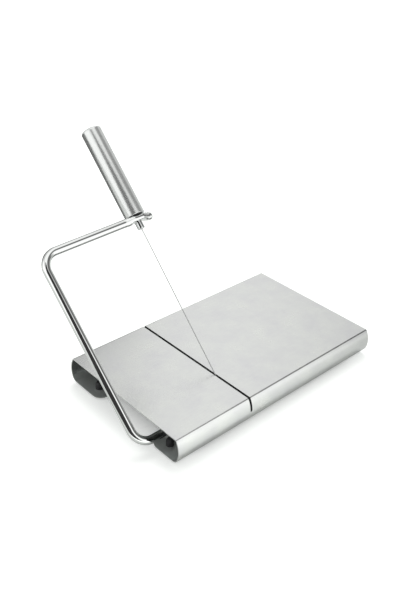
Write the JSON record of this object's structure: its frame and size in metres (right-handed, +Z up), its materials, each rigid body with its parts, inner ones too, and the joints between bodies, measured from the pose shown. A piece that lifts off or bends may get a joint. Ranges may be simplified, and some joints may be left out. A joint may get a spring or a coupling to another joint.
{
  "type": "wire cheese slicer",
  "caption": "Stainless board with rolled sides and a slot, and a hinged bent-rod arm whose taut wire cuts into the slot; turning the tube handle tightens the wire.",
  "frame": {"origin": "middle of the flat cutting face, on its upper surface", "axes": "+X along the board's long side, away from the arm; +Y towards the long edge that the handle closes over; +Z up out of the cutting face"},
  "size_m": [0.2303, 0.193, 0.1781],
  "materials": {
    "board_steel": "satin stainless sheet with a soft sheen on the rolled sides",
    "rod_chrome": "bright chrome plated rod",
    "grip_steel": "satin stainless tube, lightly brushed around",
    "wire_steel": "bright drawn stainless wire",
    "screw_steel": "turned stainless, polished",
    "insert_aluminium": "turned aluminium",
    "lug_steel": "plain stainless strip, bent and spot-welded",
    "bush_nylon": "natural nylon, moulded",
    "clip_steel": "dark spring steel, stamped",
    "foot_rubber": "black moulded rubber",
    "washer_black": "black plastic washer"
  },
  "bodies": {
    "base": {"board": "board_steel", "foot_front_left": "foot_rubber", "foot_front_right": "foot_rubber", "foot_back_left": "foot_rubber", "foot_back_right": "foot_rubber", "axle_lug_outer": "lug_steel", "axle_lug_inner": "lug_steel", "axle_bush_outer": "bush_nylon", "axle_bush_inner": "bush_nylon"},
    "arm": {"wire_arm": "rod_chrome", "axle_clip_outer": "clip_steel", "axle_clip_inner": "clip_steel", "cutting_wire": "wire_steel", "wire_ball_lower": "wire_steel", "wire_ball_upper": "wire_steel", "handle_washer": "washer_black"},
    "handle": {"handle_tube": "grip_steel", "handle_insert": "insert_aluminium"},
    "tension_screw": {"tension_screw": "screw_steel"}
  },
  "joints": [
    {"name": "arm_swing", "type": "hinge", "parent": "base", "child": "arm", "pos_m": [-0.03435, -0.0378, -0.01315], "axis": [1, 0, 0], "range_deg": [-45.2, 125]},
    {"name": "handle_spin", "type": "hinge", "parent": "arm", "child": "handle", "pos_m": [-0.03435, 0.06319, 0.08855], "axis": [-0.0157, 0.7045, 0.7095], "range_deg": [0, 1800]},
    {"name": "screw_draw", "type": "slide", "parent": "arm", "child": "tension_screw", "axis": [-0.0157, 0.7045, 0.7095], "range_m": [-0.004, 0]}
  ],
  "couplings": [
    {"joint": "screw_draw", "follows": "handle_spin", "m_per_rad": -0.0001273}
  ]
}
